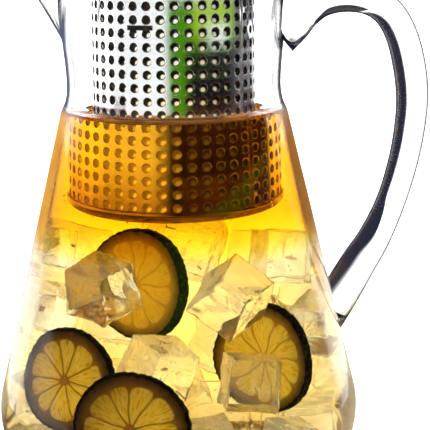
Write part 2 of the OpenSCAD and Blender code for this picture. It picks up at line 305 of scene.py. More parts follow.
def ice_material(name, ior):
    m, nt = new_material(name)
    tint = ramp(nt, noise_tex(nt, 60, 3), [(0.35, (0.955, 0.965, 0.975)), (0.65, (0.995, 0.998, 1.0))])
    frost = ramp(nt, noise_tex(nt, 75, 5, 0.62, distortion=0.6), [(0.56, grey(0.0)), (0.72, grey(0.22))])
    b = add(nt, "ShaderNodeBsdfPrincipled", {"Base Color": tint, "Roughness": frost, "IOR": ior, "Transmission Weight": 1.0})
    frost_and_painted_highlight = ramp(nt, noise_tex(nt, 55, 6, 0.68, distortion=1.2), [(0.5, grey(0.0)), (0.62, grey(0.16)), (0.72, grey(0.42))])
    cloudy = ramp(nt, noise_tex(nt, 90, 5, 0.6, distortion=0.8), [(0.36, grey(0.35)), (0.6, grey(1.0))])
    # The cube's attribute adds a painted highlight, whiter on faces towards the light and on edges, to the random
    # frost.
    face = add(nt, "ShaderNodeAttribute", attribute_name="frost_and_painted_highlight").outputs["Fac"]
    face = add(nt, "ShaderNodeMath", {0: face, 1: cloudy}, operation="MULTIPLY").outputs[0]
    frost_and_painted_highlight = add(nt, "ShaderNodeMath", {0: face, 1: frost_and_painted_highlight}, operation="MAXIMUM").outputs[0]
    t = add(nt, "ShaderNodeBsdfTranslucent", {"Color": tint})
    d = add(nt, "ShaderNodeBsdfDiffuse", {"Color": tint})
    snow = add(nt, "ShaderNodeMixShader", {0: 0.3, 1: t.outputs[0], 2: d.outputs[0]})
    surface(nt, add(nt, "ShaderNodeMixShader", {0: frost_and_painted_highlight, 1: b.outputs[0], 2: snow.outputs[0]}).outputs[0])
    return m


def steel_material():
    m, nt = new_material("polished_steel")
    co = add(nt, "ShaderNodeTexCoord").outputs["Object"]
    stretched = add(nt, "ShaderNodeMapping", {"Vector": co, "Scale": (60, 60, 900)}).outputs[0]
    fine = noise_tex(nt, 1.0, 2, vector=stretched)
    cloud = noise_tex(nt, 45, 3, vector=co)
    colour = ramp(nt, fine, [(0.3, (0.92, 0.92, 0.925)), (0.7, (0.97, 0.97, 0.97))])
    rough = ramp(nt, cloud, [(0.3, grey(0.05)), (0.7, grey(0.1))])
    mix = lambda f, a, b: add(nt, "ShaderNodeMix", {0: f, 6: a, 7: b}, data_type="RGBA").outputs[2]
    height = add(nt, "ShaderNodeSeparateXYZ", {0: co}).outputs[2]
    wet = add(nt, "ShaderNodeMapRange", {0: height, 1: 0.1795, 2: 0.1765, 3: 0.0, 4: 1.0}).outputs[0]
    low = add(nt, "ShaderNodeMapRange", {0: height, 1: 0.159, 2: 0.137, 3: 0.0, 4: 1.0}).outputs[0]
    # Under the tea the steel is painted gold, a painted reflection of the tea's colour.
    painted_tea_gold = ramp(nt, cloud, [(0.3, (0.84, 0.5, 0.1)), (0.7, (0.92, 0.58, 0.14))])
    # Darker brown towards the bottom of the tube.
    darker_low = ramp(nt, cloud, [(0.3, (0.36, 0.16, 0.035)), (0.7, (0.46, 0.22, 0.055))])
    painted_tea_tint = mix(low, painted_tea_gold, darker_low)
    # Painted shade and light in the holes' walls and on the inner face: near black brown above the tea, bright gold
    # under it.
    painted_recess_light_and_shade = add(nt, "ShaderNodeAttribute", attribute_name="painted_recess_light_and_shade").outputs["Fac"]
    painted_recess_shade = ramp(nt, cloud, [(0.3, (0.05, 0.032, 0.018)), (0.7, (0.1, 0.066, 0.04))])
    inside = ramp(nt, cloud, [(0.3, (0.9, 0.66, 0.2)), (0.7, (0.96, 0.74, 0.26))])
    colour = mix(wet, mix(painted_recess_light_and_shade, colour, painted_recess_shade), mix(painted_recess_light_and_shade, painted_tea_tint, inside))
    bump = add(nt, "ShaderNodeBump", {"Height": fine, "Strength": 0.04, "Distance": 0.0002})
    b = add(nt, "ShaderNodeBsdfPrincipled", {"Base Color": colour, "Metallic": 1.0, "Roughness": rough, "Normal": bump.outputs[0]})
    surface(nt, b.outputs[0])
    return m


def clip_material():
    m, nt = new_material("dark_spring_steel")
    colour = ramp(nt, noise_tex(nt, 200, 3), [(0.3, (0.03, 0.022, 0.016)), (0.7, (0.07, 0.052, 0.036))])
    b = add(nt, "ShaderNodeBsdfPrincipled", {"Base Color": colour, "Metallic": 1.0, "Roughness": 0.35})
    surface(nt, b.outputs[0])
    return m


def painted_light_mesh_material():
    """Fine woven wire painted dark, as the shade behind the holes, with a painted lit spot below and to the right of
    each hole that glows a little, standing in for light that comes through from the far side; under the tea its left
    side is painted gold and glows and its right side is painted dark.
    """
    m, nt = new_material("fine_mesh_painted_light")
    co = add(nt, "ShaderNodeTexCoord").outputs["Object"]
    cloud = noise_tex(nt, 70, 4, 0.6, vector=co)
    place = add(nt, "ShaderNodeSeparateXYZ", {0: co})
    calc = lambda op, a, b=0.0: add(nt, "ShaderNodeMath", {0: a, 1: b}, operation=op).outputs[0]
    turn = calc("ARCTAN2", place.outputs[1], place.outputs[0])
    nearest = lambda v, start, step: calc("MULTIPLY", calc("SUBTRACT", calc("FRACT", calc("ADD", calc("DIVIDE", calc("SUBTRACT", v, start), step), 100.5)), 0.5), step)
    du = calc("SUBTRACT", calc("MULTIPLY", nearest(turn, HOLE_A, STEP), 36.6), 0.6)
    dz = calc("ADD", calc("MULTIPLY", nearest(place.outputs[2], HOLE_Z / 1000, PITCH / 1000), 1000.0), 1.15)
    off = calc("SQRT", calc("ADD", calc("MULTIPLY", du, du), calc("MULTIPLY", dz, dz)))
    # Painted light: a lit spot below and to the right of each hole's centre.
    painted_spot = add(nt, "ShaderNodeMapRange", {0: off, 1: 1.6, 2: 0.7, 3: 0.0, 4: 1.0}, interpolation_type="SMOOTHSTEP").outputs[0]
    span = lambda k, a, b, lo, hi: add(nt, "ShaderNodeMapRange", {0: place.outputs[k], 1: a, 2: b, 3: lo, 4: hi}).outputs[0]
    wet = span(2, 0.1795, 0.1765, 0.0, 1.0)
    mix = lambda f, a, b: add(nt, "ShaderNodeMix", {0: f, 6: a, 7: b}, data_type="RGBA").outputs[2]
    # Painted shade: the mesh is near black above the tea.
    dry = ramp(nt, cloud, [(0.3, (0.035, 0.026, 0.016)), (0.7, (0.08, 0.06, 0.036))])
    # Painted light: the left side is lit more than the right.
    right = span(0, 0.008, 0.03, 1.0, 0.35)
    left = span(0, -0.004, 0.006, 1.0, 0.12)
    painted_tea_gold = mix(left, (0.05, 0.024, 0.005, 1.0), ramp(nt, cloud, [(0.3, (0.42, 0.22, 0.035)), (0.7, (0.58, 0.33, 0.06))]))
    # The painted spots above the tea run from orange by the tea up to cream.
    through = mix(span(2, 0.176, 0.215, 0.0, 1.0), (0.95, 0.62, 0.2, 1.0), (0.96, 0.9, 0.76, 1.0))
    colour = mix(painted_spot, mix(wet, dry, painted_tea_gold), mix(wet, through, mix(left, (0.2, 0.1, 0.02, 1.0), (0.95, 0.58, 0.1, 1.0))))
    # Painted glow: the spots above the tea, brighter on the left, and the left side under the tea.
    painted_glow = calc("ADD", calc("MULTIPLY", calc("MULTIPLY", painted_spot, right), calc("SUBTRACT", 1.0, wet)),
                calc("MULTIPLY", calc("MULTIPLY", wet, left), calc("ADD", 0.32, calc("MULTIPLY", painted_spot, 0.3))))
    weave = add(nt, "ShaderNodeTexWave", {"Vector": co, "Scale": 900.0, "Distortion": 0.0}, bands_direction="Z").outputs["Fac"]
    bump = add(nt, "ShaderNodeBump", {"Height": weave, "Strength": 0.3, "Distance": 0.0001})
    b = add(nt, "ShaderNodeBsdfPrincipled", {"Base Color": colour, "Roughness": 0.6, "Normal": bump.outputs[0], "Emission Color": colour, "Emission Strength": calc("MULTIPLY", painted_glow, 0.85)})
    surface(nt, b.outputs[0])
    return m


def silicone_material():
    m, nt = new_material("clear_silicone")
    colour = ramp(nt, noise_tex(nt, 120, 3), [(0.3, (0.78, 0.8, 0.8)), (0.7, (0.86, 0.875, 0.87))])
    rough = ramp(nt, noise_tex(nt, 300, 2), [(0.3, grey(0.38)), (0.7, grey(0.5))])
    b = add(nt, "ShaderNodeBsdfPrincipled", {"Base Color": colour, "Roughness": rough, "IOR": 1.42, "Subsurface Weight": 0.3, "Subsurface Scale": 0.002})
    surface(nt, b.outputs[0])
    return m


def lime_material():
    m, nt = new_material("wet_lime")
    att = lambda n: add(nt, "ShaderNodeAttribute", attribute_name=n)
    flesh, rind, core, skin = (att(n).outputs["Fac"] for n in ("flesh", "rind", "core", "skin"))
    pulp = att("pulp").outputs["Vector"]
    co = add(nt, "ShaderNodeTexCoord").outputs["Object"]
    streak = add(nt, "ShaderNodeTexNoise", {"Vector": pulp, "Scale": 1.0, "Detail": 3.0, "Roughness": 0.6}).outputs["Fac"]
    mottle = noise_tex(nt, 260, 4, 0.6, co)
    pits = noise_tex(nt, 600, 2, 0.5, co)
    pulp_col = ramp(nt, streak, [(0.32, (0.55, 0.4, 0.05)), (0.45, (0.92, 0.82, 0.22)), (0.6, (1.0, 0.98, 0.58))])
    pith_col = ramp(nt, mottle, [(0.3, (0.29, 0.18, 0.05)), (0.7, (0.42, 0.28, 0.09))])
    core_col = ramp(nt, mottle, [(0.3, (0.42, 0.22, 0.12)), (0.7, (0.56, 0.34, 0.2))])
    # The rind and skin are a lime's dark green painted near black, as painted shade of the backlit slice.
    painted_dark_rind = ramp(nt, mottle, [(0.3, (0.012, 0.012, 0.002)), (0.7, (0.035, 0.032, 0.004))])
    painted_dark_skin = ramp(nt, pits, [(0.35, (0.006, 0.009, 0.001)), (0.56, (0.022, 0.028, 0.003)), (0.72, (0.1, 0.12, 0.01))])
    mix = lambda f, a, b: add(nt, "ShaderNodeMix", {0: f, 6: a, 7: b}, data_type="RGBA").outputs[2]
    col = mix(flesh, pith_col, pulp_col)
    col = mix(core, col, core_col)
    # Painted haze: the farther slices are mixed towards pale yellow by their haze amount, standing in for the tea and
    # ice in front of them.
    painted_haze = ramp(nt, mottle, [(0.3, (0.9, 0.74, 0.22)), (0.7, (0.97, 0.85, 0.34))])
    col = mix(att("haze").outputs["Fac"], col, painted_haze)
    col = mix(rind, col, painted_dark_rind)
    col = mix(skin, col, painted_dark_skin)
    bump = add(nt, "ShaderNodeBump", {"Height": streak, "Strength": 0.25, "Distance": 0.0004})
    b = add(nt, "ShaderNodeBsdfPrincipled", {"Base Color": col, "Roughness": 0.3, "IOR": 1.38, "Normal": bump.outputs[0]})
    t = add(nt, "ShaderNodeBsdfTranslucent", {"Color": col})
    share = add(nt, "ShaderNodeMix", {0: flesh, 2: 0.9, 3: 0.98}, data_type="FLOAT").outputs[0]
    mx = add(nt, "ShaderNodeMixShader", {0: share, 1: b.outputs[0], 2: t.outputs[0]})
    surface(nt, mx.outputs[0])
    return m


GLASS, TEA, STRONG_TEA, STEEL, SILICONE, LIME_M = (
    glass_material(), tea_material(), strong_tea_material(), steel_material(), silicone_material(), lime_material())
TEA_RIM_PAINTED, CLIP = tea_rim_painted_light_material(), clip_material()
ICE_M, FAR_ICE = ice_material("wet_ice", 1.49), ice_material("still_ice", 1.36)

# ---------------------------------------------------------------- jug
BELLY, BELLY_R, CONE = (45.0, 34.8), 43.0, 13.4
NECK = [(54.6, 180), (52.5, 184.8), (51.5, 190), (51.4, 196), (51.9, 204), (52.8, 213), (53.1, 221), (53, 231), (53.3, 237), (53.9, 241.5)]
RIM_C, RIM_R = (52.45, 241.5), 1.45
TEA_Z = 178.0


def jug_side(w, nw, f, z0):
    """The jug's profile a distance w inside its outer face, from the floor at z0 to the rim."""
    r = BELLY_R - w
    fc = (BELLY[0] + math.sqrt((r - f) ** 2 - (BELLY[1] - z0 - f) ** 2), z0 + f)
    ta = math.degrees(math.atan2(fc[1] - BELLY[1], fc[0] - BELLY[0]))
    low = arc(fc, f, -90, ta, 14) + arc(BELLY, r, ta, CONE, 26)[1:]
    tr, tz = low[-1]
    nr = NECK[0][0] - nw
    cone = [(tr + (nr - tr) * t, tz + (180 - tz) * t) for t in np.linspace(0, 1, 44)[1:-1]]
    up = spline([cone[-3]] + [(a - nw, b) for a, b in NECK], 7)[7:]
    return low + cone + [tuple(q) for q in up]


OUTER = jug_side(0, 0, 8, 0)
INNER = jug_side(3, 2.9, 20, 8)


def radius_at(side, z):
    s = np.array(side)
    i = int(np.argmax(s[:, 0]))
    return np.interp(z, s[i:, 1], s[i:, 0])


def spout(rr, zz, th):
    """Pulls the rim out into the spout, on the side of -X."""
    s = np.clip((zz - 212.5) / 30.0, 0, 1.03)
    reach = 16.0 * (np.sqrt(s * s + 0.012) - math.sqrt(0.012)) / (math.sqrt(1.012) - math.sqrt(0.012))
    y = rr * np.sin(th)
    half = 3.0 + 15.0 * s
    w = np.exp(-((y / (0.62 * half)) ** 2)) * (np.cos(th) < 0)
    return rr + reach * w, zz


def jug_shape(rr, zz, th):
    pts = np.stack([rr * np.cos(th), rr * np.sin(th), zz], 1)
    return spout(rr + wobble(pts, 34.0, 0.10, 1) * np.clip(zz / 20.0, 0, 1), zz, th)


jug_profile = ([(0, 0.0), (20, 0.0), (40, 0.0), (55, 0.0)] + OUTER + arc(RIM_C, RIM_R, 0, 180, 14)[1:-1]
               + INNER[::-1] + [(40, 8.0), (25, 8.0), (12, 8.0), (0, 8.0)])
v, f = lathe(jug_profile, 224, shape=jug_shape)
jug = obj_from("jug_and_handle", v, f, GLASS)

# ---------------------------------------------------------------- handle
HANDLE = [(49, 218, 13), (56, 223.5, 12), (63, 228.5, 10), (72, 232.5, 8.3), (83.5, 234, 7.9), (95, 231.8, 7.7), (103.5, 225.5, 7.6),
          (109.5, 215, 7.8), (113.5, 200, 8), (115, 184, 7.8), (113.5, 167, 7.5), (110, 150, 7.3), (104.5, 132.5, 7.3), (97, 116, 8),
          (89, 103, 8.8), (80.5, 88.5, 9.3), (73, 76, 9.3)]


def sweep(points, sides, steps, oval):
    path = spline(points, steps)
    n = len(path)
    verts, faces = [], []
    for i, (x, z, h) in enumerate(path):
        a, b = path[max(i - 1, 0)], path[min(i + 1, n - 1)]
        d = np.array([b[0] - a[0], b[1] - a[1]])
        d /= np.linalg.norm(d)
        for k in range(sides):
            c, e = h * math.cos(TAU * k / sides), h * oval * math.sin(TAU * k / sides)
            verts.append((x - d[1] * c, e, z + d[0] * c))
    for i in range(n - 1):
        for k in range(sides):
            j = (k + 1) % sides
            faces.append((i * sides + k, (i + 1) * sides + k, (i + 1) * sides + j, i * sides + j))
    faces.append(tuple(range(sides)))
    faces.append(tuple(reversed(range((n - 1) * sides, n * sides))))
    return np.array(verts), faces


v, f = sweep(HANDLE, 40, 9, 1.15)
handle = obj_from("handle_rod", v, f, GLASS)
inside = [(0, 2.0)] + [(r - 1.4, z) for r, z in OUTER if z > 9] + [(52.4, 243.5), (0, 243.5)]
v, f = lathe(inside, 224)
boolean(handle, obj_from("mid_wall", v, f, None), "DIFFERENCE")
boolean(jug, handle, "UNION")
jug.data.shade_smooth()
jug.data.set_sharp_from_angle(angle=math.radians(42))
co = np.zeros(len(jug.data.vertices) * 3, np.float32)
jug.data.vertices.foreach_get("co", co)
co = co.reshape(-1, 3) / MM
proud = np.hypot(co[:, 0], co[:, 1]) - np.array([radius_at(OUTER, z) for z in co[:, 2]])
rod = np.clip((proud - 0.5) / 1.5, 0, 1) * (co[:, 0] > 0) * (co[:, 2] > 60)
jug.data.attributes.new("rod", "FLOAT", "POINT").data.foreach_set("value", rod.astype(np.float32))
# Marks where painted shade goes round the handle's two roots.
away = lambda x, z, r: np.clip(1.5 - np.hypot(co[:, 0] - x, co[:, 2] - z) / r, 0, 1)
root_painted_shade = 0.92 * np.maximum(away(54.5, 211.5, 5.0), away(83.5, 77.5, 3.5)) * (proud > 0.3)
jug.data.attributes.new("root_painted_shade", "FLOAT", "POINT").data.foreach_set("value", root_painted_shade.astype(np.float32))
piece(jug, "jug", "glass", "glass_jug", "glass_handle")

# ---------------------------------------------------------------- ice
ICE = [[-32, -37, 101, 6, -16, 40, 25], [23, -42, 97, 16, 32, -24, 26], [43, -13, 109, -10, 8, 24, 26],
       [57, -8, 74, 8, 6, -14, 25], [31, -52, 59, -6, 8, 12, 25], [12, -50, 27, 10, -10, 14, 25],
       [46, -41, 26, 6, 10, 42, 21], [-55, -12, 84, 12, 14, 20, 25], [-50, -1, 113, -8, 14, 16, 20],
       [-8, -42, 64, 18, 10, 34, 25], [-56, -10, 38, 6, -10, 20, 25], [2, 14, 110, 12, 20, 10, 26],
       [33, 18, 103, -8, 16, 40, 24], [-37, 32, 102, 10, -14, 52, 25], [2, 47, 104, 16, 10, 12, 26],
       [47, 30, 76, -6, 18, 50, 22], [-50, 33, 66, 8, 12, 34, 25], [-18, 54, 66, -10, 16, 20, 27],
       [21, 56, 58, 14, -10, 24, 26], [58, 22, 48, 8, 6, 22, 25], [19, 9, 59, 10, 24, 30, 24],
       [-19, 17, 66, 16, -8, 40, 24], [-24, 18, 34, 10, 14, 42, 27], [14, 20, 27, -12, 8, 20, 27],
       [38, 50, 25, 6, 10, 36, 23], [-6, 59, 30, 8, -12, 14, 26], [-46, 42, 28, -10, 8, 46, 25],
       [49, -6, 24, 4, 6, 10, 24]]


def turn(rx, ry, rz):
    a, b, c = (math.radians(q) for q in (rx, ry, rz))
    return np.array(Matrix.Rotation(c, 3, "Z") @ Matrix.Rotation(b, 3, "Y") @ Matrix.Rotation(a, 3, "X"))


def block(n):
    """Vertices of a cube from -1 to 1, n steps to an edge, closer together near the edges, and its faces."""
    t = -np.cos(np.linspace(0, 1, n + 1) * math.pi)
    t = 0.5 * t + 0.5 * np.linspace(-1, 1, n + 1)
    index, verts, faces = {}, [], []

    def vid(p):
        key = tuple(np.round(p, 5))
        if key not in index:
            index[key] = len(verts)
            verts.append(p)
        return index[key]

    for ax in range(3):
        for s in (-1, 1):
            u, w = (ax + 1) % 3, (ax + 2) % 3
            ids = np.zeros((n + 1, n + 1), int)
            for i in range(n + 1):
                for j in range(n + 1):
                    p = [0.0, 0.0, 0.0]
                    p[ax], p[u], p[w] = s, t[i], t[j]
                    ids[i, j] = vid(p)
            for i in range(n):
                for j in range(n):
                    q = (ids[i, j], ids[i + 1, j], ids[i + 1, j + 1], ids[i, j + 1])
                    faces.append(q if s > 0 else q[::-1])
    return np.array(verts), faces


CUBE_V, CUBE_F = block(14)


def vertex_normals(verts, faces):
    nrm = np.zeros_like(verts)
    f = np.array(faces)
    a = verts[f[:, 2]] - verts[f[:, 0]]
    b = verts[f[:, 3]] - verts[f[:, 1]]
    c = np.cross(a, b)
    for k in range(4):
        np.add.at(nrm, f[:, k], c)
    return nrm / np.maximum(np.linalg.norm(nrm, axis=1, keepdims=True), 1e-12)


def ice_block(spec, seed):
    x, y, z, rx, ry, rz, e = spec
    h = e / 2
    edge = 0.11 + 0.05 * rng.random()
    core = np.clip(CUBE_V, -(1 - edge), 1 - edge)
    d = CUBE_V - core
    p = core + d / np.maximum(np.linalg.norm(d, axis=1, keepdims=True), 1e-9) * edge
    n0 = vertex_normals(p, CUBE_F)
    p = p * h
    p -= n0 * (0.35 + np.abs(wobble(p, 13.0, 1.5, seed))[:, None])
    p += n0 * wobble(p, 5.0, 0.22, seed + 50)[:, None]
    taper = 1 - 0.05 * rng.random() * (p[:, 2:3] / h + 1)
    p[:, :2] *= taper
    return p @ turn(rx, ry, rz).T + np.array([x, y, z])


def facet_rime_and_highlight(level, spec):
    """How white each vertex of a cube is: the faces that look up and to the left, towards the light, are painted whiter
    as a painted highlight, and so are the edges.
    """
    on = np.abs(CUBE_V) > 0.999
    looks = np.array([-0.62, -0.5, 0.6]) @ turn(*spec[3:6])
    face = np.stack([np.clip(-looks, 0, 1), np.clip(looks, 0, 1)], 1) ** 2
    face = level * (0.08 + 1.5 * face) * (0.7 + 0.6 * rng.random((3, 2)))
    own = np.where(CUBE_V > 0, face[:, 1], face[:, 0])
    mean = (own * on).sum(1) / on.sum(1)
    return np.minimum(mean + 0.4 * level * (on.sum(1) > 1), 0.9)


def ball(c, r, n=8, m=6, squash=1.0, seed=None):
    """A closed shell round c whose faces look inwards: an air bubble in the ice or the tea."""
    verts = [(0, 0, -1)]
    for j in range(1, m):
        ph = math.pi * j / m - math.pi / 2
        for i in range(n):
            th = TAU * i / n
            verts.append((math.cos(ph) * math.cos(th), math.cos(ph) * math.sin(th), math.sin(ph)))
    verts.append((0, 0, 1))
    top = len(verts) - 1
    faces = []
    for i in range(n):
        k = (i + 1) % n
        faces.append((0, 1 + i, 1 + k))
        for j in range(m - 2):
            a, b = 1 + j * n, 1 + (j + 1) * n
            faces.append((a + i, b + i, b + k, a + k))
        faces.append((1 + (m - 2) * n + i, top, 1 + (m - 2) * n + k))
    p = np.array(verts, float) * np.array([1, 1, squash]) * r
    if seed is not None:
        p += p * wobble(p, r * 0.55, 0.5, seed)[:, None]
        p = p @ turn(*(rng.random(3) * 360)).T
    return p + np.array(c), faces


class Heap:
    """Gathers several shells into one mesh."""

    def __init__(self):
        self.v, self.f, self.n = [], [], 0

    def put(self, verts, faces, flip=False):
        verts = np.asarray(verts, float)
        for q in faces:
            q = [i + self.n for i in q]
            self.f.append(q[::-1] if flip else q)
        self.v.append(verts)
        self.n += len(verts)

    def verts(self):
        return np.concatenate(self.v)


# How frosty each of the nearer cubes is; this also sets the strength of its painted highlight.
FROST = [0.4, 0.45, 0.7, 0.5, 0.4, 0.45, 0.45, 0.4, 0.35, 0.3, 0.3]
ice, hollows, far, white = Heap(), Heap(), 0, []
for i, spec in enumerate(ICE):
    p = ice_block(spec, i + 3)
    if i == 11:
        far = len(ice.f)
    ice.put(p, CUBE_F)
    white.extend(facet_rime_and_highlight(FROST[i] if i < len(FROST) else 0.15, spec).tolist())
    hollows.put(p - vertex_normals(p, CUBE_F) * 0.2, CUBE_F, flip=True)
    m = turn(*spec[3:6])
    for k in range(16 if i < 10 else 5):
        q = (rng.random(3) - 0.5) * spec[6] * 0.7
        b, bf = ball(np.array(spec[:3]) + m @ q, 0.18 + 0.5 * rng.random() ** 3)
        ice.put(b, bf)
        white.extend([0.0] * len(b))
    q = (rng.random(3) - 0.5) * spec[6] * 0.35
    b, bf = ball(np.array(spec[:3]) + m @ q, 1.6 + 2.0 * rng.random(), 20, 10, 0.05, seed=i * 5)
    ice.put(b, bf)
    white.extend([0.0] * len(b))
ice_ob = obj_from("ice_blocks", ice.verts(), ice.f, ICE_M)
ice_ob.data.attributes.new("frost_and_painted_highlight", "FLOAT", "POINT").data.foreach_set("value", np.array(white, np.float32))
ice_ob.data.materials.append(FAR_ICE)
ice_ob.data.polygons.foreach_set("material_index", (np.arange(len(ice.f)) >= far).astype(np.int32))
piece(ice_ob, "jug", "ice", "ice_cubes")

# ---------------------------------------------------------------- tea
side = [q for q in jug_side(2.7, 2.6, 20, 7.7) if q[1] < TEA_Z + 2.6]
wall_r = float(radius_at(INNER, TEA_Z + 3.0)) + 0.3


def tea_level(r):
    """The liquid climbs a little at the glass and at the steel."""
    z = TEA_Z + 3.0 * math.exp(-max(wall_r - r, 0) / 2.2)
    if r >= 39:
        return z + 2.0 * math.exp(-(r - 39) / 1.8)
    if r <= 38.2:
        return z + 2.0 * math.exp(-(38.2 - r) / 1.8)
    return z + 2.0


rs = np.concatenate([wall_r - 6 * np.linspace(0, 1, 14) ** 1.6, np.linspace(wall_r - 6.8, 44.2, 4), 39 + 5 * np.linspace(1, 0, 12) ** 1.6,
                     38.2 - 5 * np.linspace(0, 1, 10) ** 1.6, np.linspace(31, 1.5, 14)])


def tea_shape(rr, zz, th):
    pts = np.stack([rr * np.cos(th), rr * np.sin(th), zz], 1)
    calm = (zz > TEA_Z - 0.5) * np.clip((wall_r - rr) / 4.0, 0, 1)
    return rr, zz + wobble(pts, 14.0, 0.25, 4) * calm


v, f = lathe([(0, 7.7), (30, 7.7)] + side + [(float(r), tea_level(float(r))) for r in rs] + [(0, TEA_Z)], 192, shape=tea_shape)
tea = Heap()
tea.put(v, f)
# The top ring by the steel and by the glass gets the painted rim material.
top = [all(v[i][2] > TEA_Z - 0.3 and np.hypot(v[i][0], v[i][1]) > 38.9 for i in q) for q in f]
tea.put(hollows.verts(), hollows.f)
for k in range(60):
    a = rng.random() * TAU
    r = 40.6 + 0.8 * rng.random() if k < 44 else wall_r - 1.2 - rng.random()
    z = 131.0 + 6 * rng.random() if k < 26 else TEA_Z - 0.8 - 1.4 * rng.random()
    b, bf = ball((r * math.cos(a), r * math.sin(a), z), 0.3 + 0.55 * rng.random() ** 2)
    tea.put(b, bf)
weak = len(tea.f)
v, f = lathe([(0, 116.0)] + [(float(radius_at(INNER, z)) - 0.3, float(z)) for z in np.linspace(116.0, TEA_Z - 0.4, 16)] + [(0, TEA_Z - 0.4)], 96)
tea.put(v, f)
tea_ob = obj_from("tea_body", tea.verts(), tea.f, TEA)
tea_ob.data.materials.append(STRONG_TEA)
tea_ob.data.materials.append(TEA_RIM_PAINTED)
kinds = np.array([0] * weak + [1] * (len(tea.f) - weak), np.int32)
kinds[:len(top)][np.array(top)] = 2
tea_ob.data.polygons.foreach_set("material_index", kinds)
piece(tea_ob, "jug", "tea", "iced_tea")

# ---------------------------------------------------------------- lime slices
THICK = 5.0


def smin(a, b, k):
    h = np.clip(0.5 + 0.5 * (b - a) / k, 0, 1)
    return b + (a - b) * h - k * h * (1 - h)


def ease(x, a, b):
    t = np.clip((x - a) / (b - a), 0, 1)
    return t * t * (3 - 2 * t)


def lime(name, node, spec, segs, seed, haze):
    x, y, z, turn_left, tilt, R = spec
    g = np.random.default_rng(seed)
    nt, nr = 240, 52
    th = np.arange(nt) / nt * TAU
    ph = g.random(4) * TAU
    rim = R * (1 + 0.012 * np.sin(2 * th + ph[0]) + 0.008 * np.sin(3 * th + ph[1]) + 0.004 * np.sin(7 * th + ph[2]))
    cuts = (np.arange(segs) + 0.34 * (g.random(segs) - 0.5)) / segs * TAU + ph[3]
    rel = (th[:, None] - cuts[None, :] + math.pi) % TAU - math.pi
    seg = np.argmin(np.where(rel >= 0, rel, 99), 1)
    rim = rim + wobble(np.stack([R * np.cos(th), R * np.sin(th), 0 * th], 1), 1.7, 0.5, seed + 4)
    flesh_r = R * (0.79 + 0.02 * np.sin(2 * th + ph[1]))
    core_r = R * 0.065
    prof = np.concatenate([np.linspace(0, 1, nr) ** 0.9])

    def face(top):
        out = []
        for u in prof[1:]:
            r = u * (rim - 0.75)
            bend = 0.035 * np.sin(u * 7 + ph[0]) + 0.015 * np.sin(u * 15 + ph[2]) + 0 * th
            order = np.sort(np.abs((th[:, None] + bend[:, None] - cuts[None, :] + math.pi) % TAU - math.pi), 1)
            da = r * np.sin(np.minimum(order[:, 0], 1.4)) - 0.15
            db = r * np.sin(np.minimum(order[:, 1], 1.4)) - 0.15
            d = smin(smin(da, db, 1.2), flesh_r - r, 4.2)
            d = smin(d, r - core_r, 1.2)
            fl = ease(d, 0.0, 0.5)
            zz = THICK / 2 + 0.28 * ease(d, 0, 2.0) - 0.16 * (1 - fl) * (r < flesh_r)
            zz += wobble(np.stack([r * np.cos(th), r * np.sin(th), np.zeros(nt)], 1), 1.3, 0.14, seed) * fl
            out.append((r, zz if top else -zz, fl, np.maximum(ease(r, rim - 2.4, rim - 1.0), 0.6 * ease(r, rim - 6.0, rim - 1.5)), 1 - ease(r, core_r * 0.6, core_r * 1.3), 0 * r))
        return out

    skin_z = [THICK / 2 - 0.12, THICK / 2 - 0.5, THICK / 2 - 1.2, 1.2, 0.4, -0.4, -1.2, -THICK / 2 + 1.2, -THICK / 2 + 0.5, -THICK / 2 + 0.12]
    rings = face(True)
    for zk in skin_z:
        edge = 0.75 * (max(abs(zk) - (THICK / 2 - 1.2), 0) / 1.2) ** 2
        pts = np.stack([rim * np.cos(th), rim * np.sin(th), np.full(nt, zk)], 1)
        r = rim - edge + wobble(pts, 1.1, 0.32, seed + 9)
        sk = np.full(nt, 1.0 if abs(zk) < THICK / 2 - 0.3 else 0.5)
        rings.append((r, np.full(nt, zk), 0 * th, np.ones(nt), 0 * th, sk))
    rings += face(False)[::-1]
    verts = [(0, 0, THICK / 2 - 0.1)]
    at = {"flesh": [0.0], "rind": [0.0], "core": [1.0], "skin": [0.0]}
    pulp = [(0, 0, 0)]
    for r, zz, fl, ri, co, sk in rings:
        verts.extend(np.stack([r * np.cos(th), r * np.sin(th), np.broadcast_to(zz, (nt,))], 1).tolist())
        for key, val in zip(("flesh", "rind", "core", "skin"), (fl, ri, co, sk)):
            at[key].extend(np.broadcast_to(val, (nt,)).tolist())
        pulp.extend(np.stack([r * 0.24, th * 22 + seg * 5.1, seg * 2.7 + 0 * th], 1).tolist())
    verts.append((0, 0, -THICK / 2 + 0.1))
    for key, val in (("flesh", 0.0), ("rind", 0.0), ("core", 1.0), ("skin", 0.0)):
        at[key].append(val)
    pulp.append((0, 0, 0))
    faces = [(0, 1 + k, 1 + (k + 1) % nt) for k in range(nt)]
    for i in range(len(rings) - 1):
        a, b = 1 + i * nt, 1 + (i + 1) * nt
        faces.extend((a + k, b + k, b + (k + 1) % nt, a + (k + 1) % nt) for k in range(nt))
    a, last = 1 + (len(rings) - 1) * nt, len(verts) - 1
    faces.extend((a + k, last, a + (k + 1) % nt) for k in range(nt))
    m = np.array(Matrix.Rotation(math.radians(-turn_left), 3, "Z") @ Matrix.Rotation(math.radians(90 - tilt), 3, "X"))
    ob = obj_from(name, np.array(verts) @ m.T + np.array([x, y, z]), faces, LIME_M)
    for key, val in at.items():
        ob.data.attributes.new(key, "FLOAT", "POINT").data.foreach_set("value", np.array(val, np.float32))
    ob.data.attributes.new("haze", "FLOAT", "POINT").data.foreach_set("value", np.full(len(verts), haze, np.float32))
    ob.data.attributes.new("pulp", "FLOAT_VECTOR", "POINT").data.foreach_set("vector", np.array(pulp, np.float32).ravel())
    return piece(ob, "jug", "lime", node)


